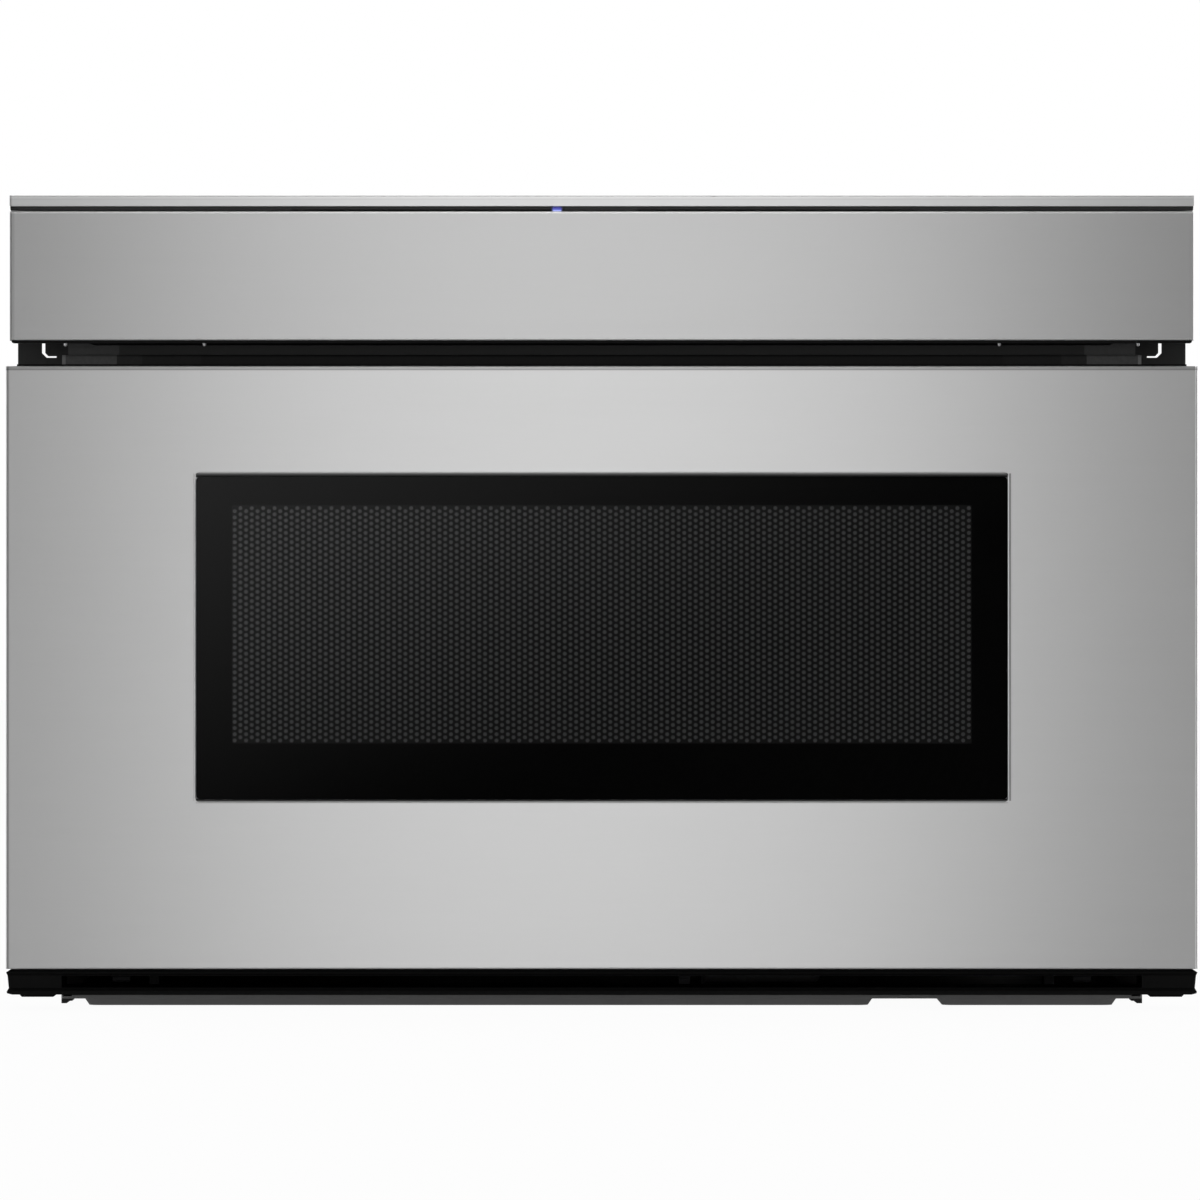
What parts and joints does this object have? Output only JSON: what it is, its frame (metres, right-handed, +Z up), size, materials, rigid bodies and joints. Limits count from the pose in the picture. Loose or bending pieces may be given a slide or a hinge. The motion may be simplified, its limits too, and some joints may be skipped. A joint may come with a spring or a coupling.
{
  "type": "microwave drawer",
  "caption": "Built-in microwave drawer with a brushed steel front, dark window, tilting control panel and a powered bin on telescopic rails.",
  "frame": {"origin": "bottom centre of the whole, on the face that the base pads rest on", "axes": "+X to the user's right along the front, -Y towards the user, +Z up"},
  "size_m": [0.6064, 0.5906, 0.4143],
  "materials": {
    "stainless": "brushed along X, satin",
    "black_glass": "polished, opaque black border",
    "dark_screen": "black enamel, perforated",
    "clear_glass": "clear",
    "black_plastic": "fine moulded grain",
    "black_steel": "satin black powder coat",
    "galvanised": "zinc coated sheet, dull",
    "zinc_steel": "zinc plated",
    "grey_enamel": "smooth grey enamel",
    "ceramic": "glazed, faint speckle",
    "copper": "varnished copper wire",
    "core_steel": "varnished laminations",
    "aluminium": "mill finish",
    "circuit_board": "green solder resist",
    "white_nylon": "natural nylon",
    "dark_nylon": "glass filled nylon",
    "mica": "pressed mica sheet",
    "rubber": "soft matt",
    "blue_light": "lit blue lens"
  },
  "bodies": {
    "chassis": {"base_plate": "galvanised", "base_brackets": "black_steel", "outer_case": "galvanised", "back_plate": "galvanised", "cord_bushing": "rubber", "front_flange": "black_steel", "top_trim": "stainless", "indicator_bar": "black_plastic", "led_lens": "blue_light", "lower_vent": "black_plastic", "cavity_shell": "grey_enamel", "waveguide_cover": "mica", "waveguide": "galvanised", "magnetron": "aluminium", "stirrer_motor": "zinc_steel", "fan_shroud": "dark_nylon", "fan_motor": "zinc_steel", "transformer_core": "core_steel", "transformer_windings": "copper", "hv_capacitor": "aluminium", "noise_filter_board": "circuit_board", "oven_lamp": "zinc_steel", "switch_brackets": "galvanised", "micro_switches": "dark_nylon", "drive_motor": "zinc_steel", "drive_brackets": "galvanised", "panel_brackets": "black_steel", "panel_motor": "zinc_steel", "rails_outer": "zinc_steel", "case_screws": "zinc_steel"},
    "drawer": {"door_skin": "stainless", "door_glass": "black_glass", "window_screen": "dark_screen", "door_frame": "black_plastic", "door_top_rail": "black_steel", "door_panel": "black_steel", "choke_cover": "black_plastic", "inner_window": "clear_glass", "drawer_bin": "grey_enamel", "ceramic_shelf": "ceramic", "drawer_arms": "zinc_steel", "rails_inner": "zinc_steel", "racks": "white_nylon", "latch_hooks": "white_nylon", "door_screws": "zinc_steel"},
    "rail_middle_left": {"rail_middle_left": "zinc_steel"},
    "rail_middle_right": {"rail_middle_right": "zinc_steel"},
    "drive_shaft": {"drive_shaft": "zinc_steel", "shaft_pinions": "white_nylon", "drive_gear": "white_nylon"},
    "motor_gear": {"motor_gear": "white_nylon"},
    "stirrer": {"stirrer": "aluminium"},
    "fan": {"fan_blade": "dark_nylon"},
    "control_panel": {"control_skin": "stainless", "control_carrier": "black_plastic", "touch_glass": "black_glass", "display_board": "circuit_board", "hinge_pins": "zinc_steel", "sector_gear": "white_nylon"},
    "panel_pinion": {"panel_pinion": "white_nylon"}
  },
  "joints": [
    {"name": "drawer_slide", "type": "slide", "parent": "chassis", "child": "drawer", "axis": [0, -1, 0], "range_m": [0, 0.385]},
    {"name": "rail_middle_left_slide", "type": "slide", "parent": "chassis", "child": "rail_middle_left", "axis": [0, -1, 0], "range_m": [0, 0.193]},
    {"name": "rail_middle_right_slide", "type": "slide", "parent": "chassis", "child": "rail_middle_right", "axis": [0, -1, 0], "range_m": [0, 0.193]},
    {"name": "drive_shaft_spin", "type": "hinge", "parent": "chassis", "child": "drive_shaft", "pos_m": [0, -0.2, 0.026], "axis": [1, 0, 0], "range_deg": [-10, 1480]},
    {"name": "motor_gear_spin", "type": "hinge", "parent": "chassis", "child": "motor_gear", "pos_m": [0.043, -0.176, 0.026], "axis": [1, 0, 0], "range_deg": [-3580, 10]},
    {"name": "control_tilt", "type": "hinge", "parent": "chassis", "child": "control_panel", "pos_m": [0, -0.2833, 0.3465], "axis": [1, 0, 0], "range_deg": [0, 45]},
    {"name": "panel_pinion_spin", "type": "hinge", "parent": "chassis", "child": "panel_pinion", "pos_m": [-0.292, -0.27809, 0.37604], "axis": [1, 0, 0], "range_deg": [-185, 5]},
    {"name": "fan_spin", "type": "hinge", "parent": "chassis", "child": "fan", "pos_m": [0.15, 0.2783, 0.24], "axis": [0, 1, 0], "continuous": true},
    {"name": "stirrer_spin", "type": "hinge", "parent": "chassis", "child": "stirrer", "pos_m": [0, -0.04, 0.305], "axis": [0, 0, 1], "continuous": true}
  ],
  "couplings": [
    {"joint": "rail_middle_left_slide", "follows": "drawer_slide", "ratio": 0.5},
    {"joint": "rail_middle_right_slide", "follows": "drawer_slide", "ratio": 0.5},
    {"joint": "drive_shaft_spin", "follows": "drawer_slide", "rad_per_m": 66.667},
    {"joint": "motor_gear_spin", "follows": "drawer_slide", "rad_per_m": -161.9},
    {"joint": "panel_pinion_spin", "follows": "control_tilt", "ratio": -4}
  ]
}
